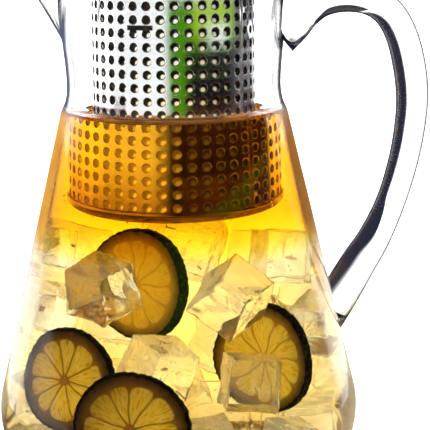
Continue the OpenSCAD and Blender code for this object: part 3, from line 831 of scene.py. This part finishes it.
lime("slice_left", "lime_slice_left", [-48, -43, 59, 28, 8, 24], 10, 21, 0.0)
lime("slice_front", "lime_slice_front", [-21, -68, 43, 10, 6, 26], 10, 22, 0.0)
lime("slice_back", "lime_slice_back", [-14, -12, 97, 48, 6, 26], 11, 23, 0.55)
lime("slice_right", "lime_slice_right", [36, -26, 63, 34, 4, 26], 10, 24, 0.25)

# ---------------------------------------------------------------- infuser
COLS, ROWS, PITCH, HOLE_Z, HOLE_R, TUBE_R, TUBE_T = 38, 16, 6.25, 138.4, 1.8, 39.0, 0.8
HOLE_A = math.radians(-89)
STEP = TAU / COLS


def perforated():
    """The punched sheet: each cell has one hole with a slightly rolled mouth."""
    verts, index, faces = [], {}, []
    low = HOLE_Z - PITCH / 2

    def corner(iu, iv, depth):
        k = (iu % (COLS * 4), iv, depth)
        if k not in index:
            index[k] = len(verts)
            a = HOLE_A - STEP / 2 + iu * STEP / 4
            r = TUBE_R - depth
            verts.append((r * math.cos(a), r * math.sin(a), low + iv * PITCH / 4))
        return index[k]

    square = [(4, 4), (3, 4), (2, 4), (1, 4), (0, 4), (0, 3), (0, 2), (0, 1), (0, 0), (1, 0), (2, 0), (3, 0), (4, 0), (4, 1), (4, 2), (4, 3)]
    steps = [(2.5, 0.0), (2.3, 0.003), (2.12, 0.02), (2.02, 0.06), (1.95, 0.14), (1.9, 0.3), (1.87, 0.52), (1.85, 0.74)]
    for row in range(ROWS):
        for col in range(COLS):
            ac, zc = HOLE_A + col * STEP, HOLE_Z + row * PITCH
            rings = [[corner(col * 4 + u, row * 4 + w, 0.0) for u, w in square]]
            for r, depth in steps:
                ids = []
                for k in range(16):
                    t = math.radians(45 + 22.5 * k)
                    a = ac + r * math.cos(t) / TUBE_R
                    ids.append(len(verts))
                    verts.append(((TUBE_R - depth) * math.cos(a), (TUBE_R - depth) * math.sin(a), zc + r * math.sin(t)))
                rings.append(ids)
            rings.append([corner(col * 4 + u, row * 4 + w, TUBE_T) for u, w in square])
            for p, q in zip(rings, rings[1:]):
                for k in range(16):
                    j = (k + 1) % 16
                    faces.append((p[k], p[j], q[j], q[k]))
    n = COLS * 4

    def ring(z, depth):
        ids = list(range(len(verts), len(verts) + n))
        for iu in range(n):
            a = HOLE_A - STEP / 2 + iu * STEP / 4
            r = TUBE_R - depth
            verts.append((r * math.cos(a), r * math.sin(a), z))
        return ids

    def band(p, q):
        for k in range(n):
            j = (k + 1) % n
            faces.append((p[k], p[j], q[j], q[k]))

    top = [[corner(i, ROWS * 4, 0.0) for i in range(n)], ring(239.0, 0.0), ring(243.0, 0.0), ring(243.2, 0.2), ring(243.2, TUBE_T - 0.2),
           ring(243.0, TUBE_T), ring(239.0, TUBE_T), [corner(i, ROWS * 4, TUBE_T) for i in range(n)]]
    bottom = [[corner(i, 0, TUBE_T) for i in range(n)], ring(134.7, TUBE_T), ring(134.6, TUBE_T - 0.1), ring(134.6, 0.1), ring(134.7, 0.0),
              [corner(i, 0, 0.0) for i in range(n)]]
    for rings in (top, bottom):
        for p, q in zip(rings, rings[1:]):
            band(p, q)
    return np.array(verts), faces


v, f = perforated()
tube = obj_from("perforated_tube", v, f, STEEL)
slots = Heap()
for a in (HOLE_A - 2.5 * STEP, HOLE_A + 16.5 * STEP):
    box = np.array([(x, y, z) for z in (-1.15, 1.15) for x, y in ((35.5, -6.2), (42.0, -6.2), (42.0, 6.2), (35.5, 6.2))], float)
    box[:, 2] += 222.15
    m = np.array(Matrix.Rotation(a, 3, "Z"))
    slots.put(box @ m.T, [(3, 2, 1, 0), (4, 5, 6, 7), (0, 1, 5, 4), (1, 2, 6, 5), (2, 3, 7, 6), (3, 0, 4, 7)])
boolean(tube, obj_from("slot_cutters", slots.verts(), slots.f, None), "DIFFERENCE")
tube.data.shade_smooth()
tube.data.set_sharp_from_angle(angle=math.radians(50))
co = np.zeros(len(tube.data.vertices) * 3, np.float32)
tube.data.vertices.foreach_get("co", co)
depth = TUBE_R - np.hypot(co[0::3], co[1::3]) / MM
# The hole walls and the inner face, by depth into the sheet, get the painted shade and light.
tube.data.attributes.new("painted_recess_light_and_shade", "FLOAT", "POINT").data.foreach_set("value", ease(depth, 0.05, 0.2).astype(np.float32))
piece(tube, "infuser", "steel", "infuser_tube")

# The strainer sleeve behind the holes, painted dark with painted lit spots.
v, f = lathe(rounded([(36.2, 132.0), (36.6, 132.0), (36.6, 238.0), (36.2, 238.0)], 0.1, 2), 160, loop=True)
piece(obj_from("strainer_mesh", v, f, painted_light_mesh_material()), "infuser", "steel", "strainer_sleeve")

cup = [(0, 131.0), (20, 131.0)] + arc((35.9, 135.0), 4.0, -90, 0, 12) + rounded([(39.9, 135.2), (39.9, 136.4), (39.1, 136.4), (39.1, 135.2)], 0.35, 4, loop=False) \
    + arc((35.9, 135.0), 3.2, 0, -90, 10) + [(20, 131.8), (0, 131.8)]
v, f = lathe(cup, 144)
base = obj_from("infuser_cup", v, f, STEEL)
cutters = Heap()
for k in range(6):
    for i in range(max(6 * k, 1)):
        a = TAU * i / max(6 * k, 1)
        cv, cf = lathe([(0, 129.0), (1.75, 129.0), (1.75, 130.9), (HOLE_R, 131.2), (HOLE_R, 133.5), (0, 133.5)], 16)
        cutters.put(cv + np.array([6.7 * k * math.cos(a), 6.7 * k * math.sin(a), 0]), cf)
boolean(base, obj_from("cup_holes", cutters.verts(), cutters.f, None), "DIFFERENCE")
base.data.shade_smooth()
base.data.set_sharp_from_angle(angle=math.radians(35))
piece(base, "infuser", "steel", "infuser_base")

collar = rounded([(37.5, 243.2), (46.4, 243.2), (46.4, 237.2), (47.3, 237.2), (47.3, 243.2), (53.4, 243.2)], [0.3, 0.6, 0.35, 0.35, 0.6, 0.2], 4, loop=False) \
    + arc((54.0, 244.1), 0.9, -100, 165, 16) + [(52.9, 244.2), (45.0, 244.2), (38.2, 244.2), (37.7, 244.1), (37.5, 243.9)]
v, f = lathe(collar, 160, loop=True)
piece(obj_from("hanging_collar", v, f, STEEL), "infuser", "steel", "infuser_collar")

gasket = rounded([(47.35, 237.4), (48.9, 237.4), (49.0, 238.0), (49.55, 238.6), (49.0, 239.3), (48.9, 240.1), (49.0, 240.6), (49.55, 241.2), (49.0, 241.9), (48.9, 243.0), (47.35, 243.0)], 0.3, 3)
v, f = lathe(gasket, 144, loop=True)
piece(obj_from("collar_ring", v, f, SILICONE), "infuser", "silicone", "collar_gasket")

# ---------------------------------------------------------------- lid
LID_TOP = 250.7


def dome(r):
    return LID_TOP - 5.0 * (max(r - 9.0, 0) / 35.0) ** 2


under = [(float(r), dome(float(r)) - 1.2) for r in np.linspace(2.6, 33.4, 18)]
lid = under + rounded([(34.0, dome(34.0) - 1.2), (34.2, 246.0), (34.2, 239.5), (35.2, 239.5), (35.2, 246.2), (35.6, dome(35.4) - 1.25)], [0.2, 0.4, 0.4, 0.4, 0.4, 0.2], 4, loop=False) \
    + [(float(r), dome(float(r)) - 1.2) for r in np.linspace(36.5, 41.2, 5)] \
    + rounded([(41.8, 244.7), (43.3, 244.5), (44.0, 245.1), (43.6, dome(43.6) + 0.15)], 0.5, 5, loop=False) + [(float(r), dome(float(r))) for r in np.linspace(42.8, 3.0, 30)] + [(2.6, 250.4)]
v, f = lathe(lid, 160, loop=True)
piece(obj_from("lid_dome", v, f, STEEL), "lid", "steel", "lid_cap")

ring = rounded([(35.25, 239.6), (36.3, 239.6), (36.4, 241.1), (36.9, 241.9), (36.4, 242.7), (36.3, 244.2), (35.25, 244.2)], 0.3, 3)
v, f = lathe(ring, 144, loop=True)
piece(obj_from("lid_ring", v, f, SILICONE), "lid", "silicone", "lid_gasket")

v, f = lathe(rounded([(2.6, 250.7), (8.0, 250.7), (8.0, 251.7), (2.6, 251.7)], 0.25, 4), 72, loop=True)
piece(obj_from("washer_disc", v, f, SILICONE), "lid", "silicone", "knob_washer")

waist = [(8, 0.0), (7.7, 0.6), (6.6, 2.5), (6.2, 6), (7.6, 11), (11.5, 15), (13, 17.2), (12.2, 19), (9.5, 19.85), (4.5, 19.98), (0.0, 20.0)]
knob = [(0, 262.2), (2.6, 262.2), (2.6, 251.75), (7.6, 251.72)] + [(max(float(r), 0.0), 251.7 + float(z)) for r, z in spline(waist, 7)]
knob[-1] = (0, 271.7)
v, f = lathe(knob, 96)
piece(obj_from("turned_knob", v, f, STEEL), "lid", "steel", "lid_knob")

for n, m in (("collar_clips", CLIP), ("knob_screw", STEEL)):
    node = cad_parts[n]
    node.data.materials.clear()
    node.data.materials.append(m)

# ---------------------------------------------------------------- stage
def floor_material():
    m, nt = new_material("pale_floor")
    tone = ramp(nt, noise_tex(nt, 6, 2), [(0.3, grey(0.93)), (0.7, grey(0.95))])
    d = add(nt, "ShaderNodeBsdfDiffuse", {"Color": tone})
    depth = add(nt, "ShaderNodeSeparateXYZ", {0: add(nt, "ShaderNodeTexCoord").outputs["Object"]}).outputs[1]
    power = add(nt, "ShaderNodeMapRange", {0: depth, 1: -0.1, 2: 0.3, 3: 1.25, 4: 3.3}, interpolation_type="SMOOTHSTEP").outputs[0]
    place = add(nt, "ShaderNodeSeparateXYZ", {0: add(nt, "ShaderNodeTexCoord").outputs["Object"]})
    right = add(nt, "ShaderNodeMapRange", {0: place.outputs[0], 1: -0.25, 2: 0.05, 3: 0.75, 4: 0.95}).outputs[0]
    front = add(nt, "ShaderNodeMapRange", {0: place.outputs[1], 1: -0.04, 2: -0.09, 3: 0.0, 4: 1.0}).outputs[0]
    mul = lambda a, b: add(nt, "ShaderNodeMath", {0: a, 1: b}, operation="MULTIPLY").outputs[0]
    passed_on = add(nt, "ShaderNodeMath", {0: add(nt, "ShaderNodeLightPath").outputs["Diffuse Depth"], 1: 0.5}, operation="GREATER_THAN").outputs[0]
    dim = add(nt, "ShaderNodeMath", {0: 1.0, 1: mul(mul(right, front), passed_on)}, operation="SUBTRACT").outputs[0]
    e = add(nt, "ShaderNodeEmission", {"Color": tone, "Strength": mul(power, dim)})
    mx = add(nt, "ShaderNodeMixShader", {0: 0.5, 1: d.outputs[0], 2: e.outputs[0]})
    cloth = add(nt, "ShaderNodeBsdfDiffuse", {"Color": (0.02, 0.02, 0.02, 1.0)})
    mx = add(nt, "ShaderNodeMixShader", {0: dim, 1: cloth.outputs[0], 2: mx.outputs[0]})
    surface(nt, mx.outputs[0])
    return m


v, f = lathe([(0, -0.3), (300, -0.3), (1200, -0.3), (6000, -0.3)], 64)
floor = obj_from("floor", v, [q[::-1] for q in f], floor_material())


def card_material(name, kind):
    """Painted by the card's own colour and cover. A mirrored card shows only in reflections, a room one only in
    reflections inside the jug, a veil or edge one only on the faces
    of the glass, a clear one only through glass, a rod one only through one rod of it, and light that fruit and frost pass on misses all of them."""
    m, nt = new_material(name)
    paint = add(nt, "ShaderNodeAttribute", attribute_name="paint").outputs["Color"]
    cover = add(nt, "ShaderNodeAttribute", attribute_name="cover").outputs["Fac"]
    path = add(nt, "ShaderNodeLightPath")
    seen = [add(nt, "ShaderNodeMath", {0: path.outputs["Diffuse Depth"], 1: 0.5}, operation="LESS_THAN").outputs[0]]
    seen.append(add(nt, "ShaderNodeMath", {0: path.outputs["Glossy Depth"], 1: 0.5}, operation="GREATER_THAN" if kind in ("mirrored", "room", "veil", "edge") else "LESS_THAN").outputs[0])
    through = path.outputs["Transmission Depth"]
    if kind in ("mirrored", "room"):
        near = add(nt, "ShaderNodeMath", {0: through, 1: 8.5}, operation="LESS_THAN").outputs[0]
        again = add(nt, "ShaderNodeMath", {0: path.outputs["Glossy Depth"], 1: 1.5}, operation="GREATER_THAN").outputs[0]
        again = add(nt, "ShaderNodeMath", {0: again, 1: add(nt, "ShaderNodeMath", {0: through, 1: 10.5}, operation="LESS_THAN").outputs[0]}, operation="MULTIPLY").outputs[0]
        seen.append(add(nt, "ShaderNodeMath", {0: near, 1: again if kind == "room" else 0.0}, operation="MAXIMUM").outputs[0])
    if kind == "edge":
        seen.append(add(nt, "ShaderNodeMath", {0: through, 1: 4.5}, operation="LESS_THAN").outputs[0])
    if kind == "room":
        seen.append(add(nt, "ShaderNodeMath", {0: through, 1: 2.5}, operation="GREATER_THAN").outputs[0])
    if kind in ("rod", "veil"):
        seen.append(add(nt, "ShaderNodeMath", {0: path.outputs["Transmission Depth"], 1: 2.5}, operation="LESS_THAN").outputs[0])
    for k in seen:
        cover = add(nt, "ShaderNodeMath", {0: cover, 1: k}, operation="MULTIPLY").outputs[0]
    d = add(nt, "ShaderNodeEmission", {"Color": paint, "Strength": 1.0})
    t = add(nt, "ShaderNodeBsdfTransparent")
    mx = add(nt, "ShaderNodeMixShader", {0: cover, 1: t.outputs[0], 2: d.outputs[0]})
    surface(nt, mx.outputs[0])
    return m


ROD, CLEAR, MIRRORED, ROOM, VEIL, EDGE = (card_material(*q) for q in (("rod_cloth", "rod"), ("flag_cloth", "clear"), ("card_paint", "mirrored"), ("room_wall", "room"), ("dark_cloth", "veil"), ("edge_cloth", "edge")))


def card(name, material, dist, a0, a1, z0, z1, paint, nu=64, nv=40):
    """A curved panel round the jug from bearing a0 to a1 (degrees to the right of +Y), seen only in glass and metal."""
    verts, cols, cover = [], [], []
    for j in range(nv + 1):
        for i in range(nu + 1):
            a, z = a0 + (a1 - a0) * i / nu, z0 + (z1 - z0) * j / nv
            verts.append((dist * math.sin(math.radians(a)), dist * math.cos(math.radians(a)), z))
            c, k = paint(a, z)
            cols.extend(c)
            cover.append(k)
    return panel(name, material, verts, cols, cover, nu, nv)


def panel(name, material, verts, cols, cover, nu, nv):
    faces = [(j * (nu + 1) + i, j * (nu + 1) + i + 1, (j + 1) * (nu + 1) + i + 1, (j + 1) * (nu + 1) + i) for j in range(nv) for i in range(nu)]
    ob = obj_from(name, verts, faces, material)
    ob.data.attributes.new("paint", "FLOAT_VECTOR", "POINT").data.foreach_set("vector", np.array(cols, np.float32))
    ob.data.attributes.new("cover", "FLOAT", "POINT").data.foreach_set("value", np.array(cover, np.float32))
    ob.visible_camera = False
    ob.visible_diffuse = False
    ob.visible_shadow = False
    return ob


def blend(a, b, t):
    return tuple(float(x + (y - x) * t) for x, y in zip(a, b))


INK = (0.02, 0.024, 0.045)


def rod_flag(a, z):
    return INK, float(ease(a, 31, 36) * (1 - ease(a, 100, 114)) * ease(z, 5, 25))


def right_flag(a, z):
    start = 45 + 17 * float(ease(z, 80, 125))
    return INK, float(ease(a, start, start + 6) * (1 - ease(a, 100, 114)) * ease(z, 5, 25))


def left_flag(a, z):
    start = 55 + 7 * float(ease(z, 80, 125))
    return (0.04, 0.04, 0.05), float(0.95 * ease(a, -78, -70) * (1 - ease(a, -start - 5, -start)) * (1 - ease(z, 380, 420)) * ease(z, 5, 25))


def top_flag(a, z):
    return INK, float(ease(a, -74, -60) * ease(z, 365, 385))


def low_flag(a, z):
    return INK, float(0.9 * ease(abs(a), 30, 42) * ease(z, 102, 118) * (1 - ease(z, 168, 181)))


def dark_wall(a, z):
    return (0.01, 0.01, 0.012), float(ease(a, 62, 80) * (1 - ease(a, 280, 298)) * ease(z, 120, 200) * (1 - ease(z, 1500, 1700)))


def dark_room(a, z):
    return (0.012, 0.012, 0.014), float(ease(a, 62, 74) * (1 - ease(a, 286, 298)) * (1 - ease(z, 222, 231)))


def room_paint(a, z):
    """What the polished steel mirrors: a dark corner to the right of the viewer, with leafy green beside and above it."""
    dark, leaf, lime_green, wall = (0.008, 0.007, 0.009), (0.08, 0.29, 0.004), (0.38, 0.62, 0.02), (0.12, 0.12, 0.125)
    c = blend(leaf, lime_green, float(ease(a, 166, 146) * ease(z, 186, 202)))
    block = float((1 - ease(z, 182, 200)) * (1 - ease(a, 153, 173)))
    c = blend(c, dark, block)
    c = blend(c, wall, float(1 - ease(a, 80, 106)))
    gap = float((1 - ease(a, 118, 150)) * ease(a, 92, 112) * ease(z, 188, 194) * (1 - ease(z, 200, 207)))
    under = float(1 - ease(z, 110, 138))
    upper = float(ease(a, 20, 55) * (1 - ease(a, 179, 198)) * (1 - ease(z, 217, 225))) * (1 - 0.85 * gap)
    lower = float(ease(a, 26, 42) * (1 - ease(a, 180, 214)))
    return blend(c, dark, under), upper + (lower - upper) * under


card("flag_rod", ROD, 419, 28, 116, 3, 900, rod_flag)
card("flag_right", CLEAR, 420, 28, 116, 3, 900, right_flag)
card("flag_left", CLEAR, 420, -80, -50, 3, 430, left_flag)
card("flag_top", CLEAR, 421, -76, 30, 360, 900, top_flag)
card("low_right", EDGE, 160, 28, 118, 100, 182, low_flag)
card("low_left", EDGE, 160, -118, -28, 100, 182, low_flag)
card("room_dark", VEIL, 348, 60, 300, 1, 232, dark_room)
card("room_right", ROOM, 350, 18, 216, 1, 228, room_paint, 120, 80)
card("dark_wall", MIRRORED, 3000, 60, 300, 110, 1710, dark_wall)
sheet = [(x, y) for y in np.linspace(-90, 520, 41) for x in np.linspace(96, 700, 61)]
panel("floor_cloth", ROD, [(x, y, 2.0) for x, y in sheet], [q for _ in sheet for q in INK],
      [float(ease(x, 120, 156) * ease(y, -85, -60) * (1 - ease(y, 480, 515)) * (1 - ease(x, 640, 690))) for x, y in sheet], 60, 40)
ring = [(r, a) for r in np.linspace(96, 330, 41) for a in np.linspace(16, 344, 83)]
panel("front_cloth", MIRRORED, [(r * math.sin(math.radians(a)), r * math.cos(math.radians(a)), 1.0) for r, a in ring], [q for r, a in ring for q in blend((0.06, 0.055, 0.05), (0.85, 0.78, 0.55), float(1 - ease(a, 96, 116) * (1 - ease(a, 292, 314))))],
      [float(ease(a, 17, 30) * (1 - ease(a, 330, 343)) * (1 - ease(r, 290, 328))) for r, a in ring], 82, 40)

world = bpy.data.worlds.new("studio")
scene.world = world
world.use_nodes = True
wn = world.node_tree
wn.nodes.clear()
direction = add(wn, "ShaderNodeTexCoord").outputs["Generated"]
xyz = add(wn, "ShaderNodeSeparateXYZ", {0: direction})
sky = ramp(wn, noise_tex(wn, 1.5, 1, vector=direction), [(0.3, (0.985, 0.985, 0.985)), (0.7, (1.0, 1.0, 1.0))])
grade = lambda k, a, b, lo, hi: add(wn, "ShaderNodeMapRange", {0: xyz.outputs[k], 1: a, 2: b, 3: lo, 4: hi}, interpolation_type="SMOOTHSTEP").outputs[0]
times = lambda a, b: add(wn, "ShaderNodeMath", {0: a, 1: b}, operation="MULTIPLY").outputs[0]
shade = times(times(grade(2, 0.0, 0.05, 0.0, 0.78), grade(2, 0.42, 0.6, 1.0, 0.0)), grade(1, -0.5, -0.12, 1.0, 0.0))
ceiling = grade(2, 0.8, 0.9, 1.0, 0.12)
passed_on = add(wn, "ShaderNodeMath", {0: add(wn, "ShaderNodeLightPath").outputs["Diffuse Depth"], 1: 0.5}, operation="GREATER_THAN").outputs[0]
side = times(times(grade(0, -0.4, 0.1, 0.85, 0.96), grade(1, -0.3, 0.0, 1.0, 0.0)), passed_on)
shade = add(wn, "ShaderNodeMath", {0: shade, 1: side}, operation="MAXIMUM").outputs[0]
power = times(times(grade(1, -0.3, 0.6, 1.12, 2.3), ceiling), add(wn, "ShaderNodeMath", {0: 1.0, 1: shade}, operation="SUBTRACT").outputs[0])
mirrored = add(wn, "ShaderNodeMath", {0: add(wn, "ShaderNodeLightPath").outputs["Glossy Depth"], 1: 0.5}, operation="GREATER_THAN").outputs[0]
overhead = times(mirrored, grade(2, 0.26, 0.5, 0.0, 0.72))
power = times(power, add(wn, "ShaderNodeMath", {0: 1.0, 1: overhead}, operation="SUBTRACT").outputs[0])
toward = add(wn, "ShaderNodeVectorMath", {0: direction, 1: (-0.47, -0.67, 0.57)}, operation="DOT_PRODUCT").outputs["Value"]
lamp = add(wn, "ShaderNodeMapRange", {0: toward, 1: 0.92, 2: 0.98, 3: 0.0, 4: 30.0}, interpolation_type="SMOOTHSTEP").outputs[0]
once = add(wn, "ShaderNodeMath", {0: add(wn, "ShaderNodeLightPath").outputs["Diffuse Depth"], 1: 1.5}, operation="LESS_THAN").outputs[0]
power = add(wn, "ShaderNodeMath", {0: power, 1: times(times(lamp, passed_on), once)}, operation="ADD").outputs[0]
bg = add(wn, "ShaderNodeBackground", {"Color": sky, "Strength": power})
wo = wn.nodes.new("ShaderNodeOutputWorld")
wn.links.new(bg.outputs[0], wo.inputs["Surface"])

scene.view_settings.view_transform = "Standard"
scene.view_settings.look = "None"
scene.cycles.max_bounces = 40
scene.cycles.transmission_bounces = 40
scene.cycles.glossy_bounces = 16
scene.cycles.diffuse_bounces = 8
scene.cycles.transparent_max_bounces = 32
scene.cycles.caustics_reflective = True
scene.cycles.caustics_refractive = True
scene.cycles.sample_clamp_indirect = 6.0
scene.cycles.blur_glossy = 0.0

# ---------------------------------------------------------------- camera
cam_data = bpy.data.cameras.new("camera")
cam = bpy.data.objects.new("camera", cam_data)
scene.collection.objects.link(cam)
scene.camera = cam
cam_data.sensor_width = 36.0
cam_data.lens = 132.53
cam_data.clip_start = 0.02
cam_data.clip_end = 50.0
cam_data.dof.use_dof = False
cam_data.shift_x = -0.0028
yaw, pitch, roll = (math.radians(q) for q in (1.48, 10.4, 0.65))
fwd = Vector((math.sin(yaw) * math.cos(pitch), math.cos(yaw) * math.cos(pitch), -math.sin(pitch)))
right0 = Vector((math.cos(yaw), -math.sin(yaw), 0.0))
up0 = right0.cross(fwd)
right = right0 * math.cos(roll) - up0 * math.sin(roll)
up = up0 * math.cos(roll) + right0 * math.sin(roll)
rot = Matrix((right, up, -fwd)).transposed()
cam.matrix_world = Matrix.Translation(Vector((0.0, -0.760, 0.268))) @ rot.to_4x4()
